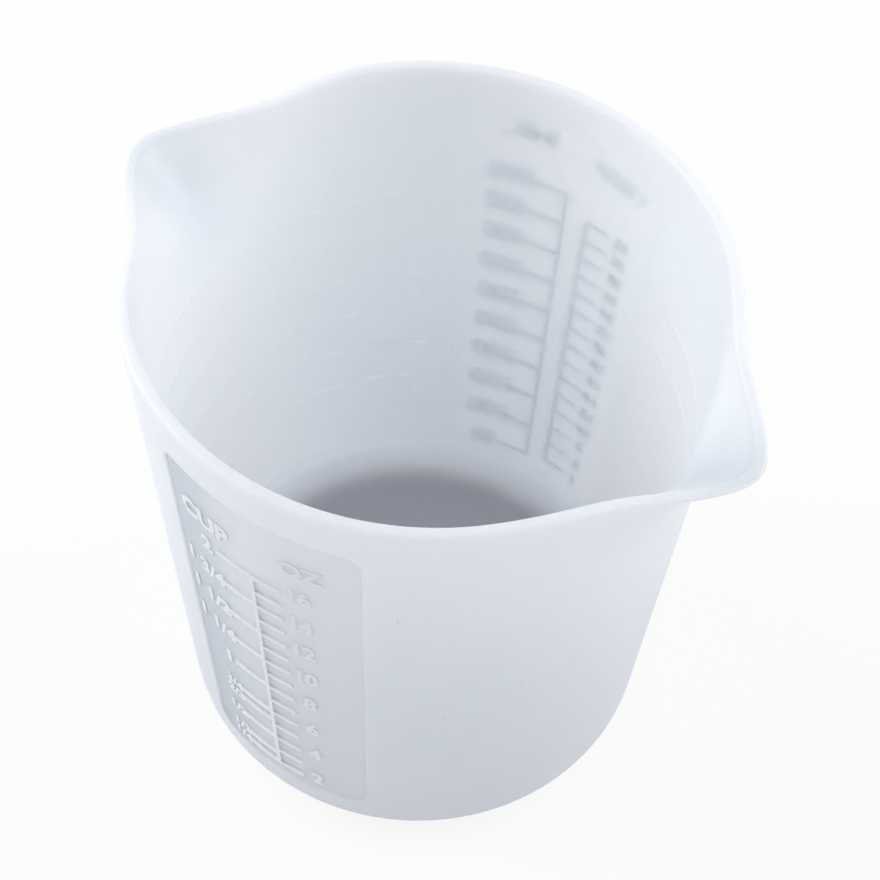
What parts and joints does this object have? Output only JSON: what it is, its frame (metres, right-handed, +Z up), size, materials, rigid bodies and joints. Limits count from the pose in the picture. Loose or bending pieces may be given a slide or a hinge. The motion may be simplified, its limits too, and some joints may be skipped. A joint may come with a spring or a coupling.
{
  "type": "silicone mixing cup",
  "caption": "Translucent silicone mixing cup with two opposite pouring spouts, raised measuring scales in recessed windows and fill rings inside.",
  "frame": {"origin": "centre of the flat resting face, on the surface the cup stands on", "axes": "+Z up along the cup's axis, +X through the middle of one spout, -Y through the middle of the window with the cup and ounce scales"},
  "size_m": [0.1206, 0.1, 0.1075],
  "materials": {
    "silicone_body": "frosted translucent milky white silicone, a little smoother inside the scale windows",
    "silicone_marks": "frosted milky white raised marks of the same silicone"
  },
  "bodies": {
    "root": {"cup_body": "silicone_body", "ounce_scale": "silicone_marks", "cup_scale": "silicone_marks", "millilitre_scale": "silicone_marks", "tablespoon_scale": "silicone_marks", "fill_rings": "silicone_marks"}
  },
  "joints": []
}
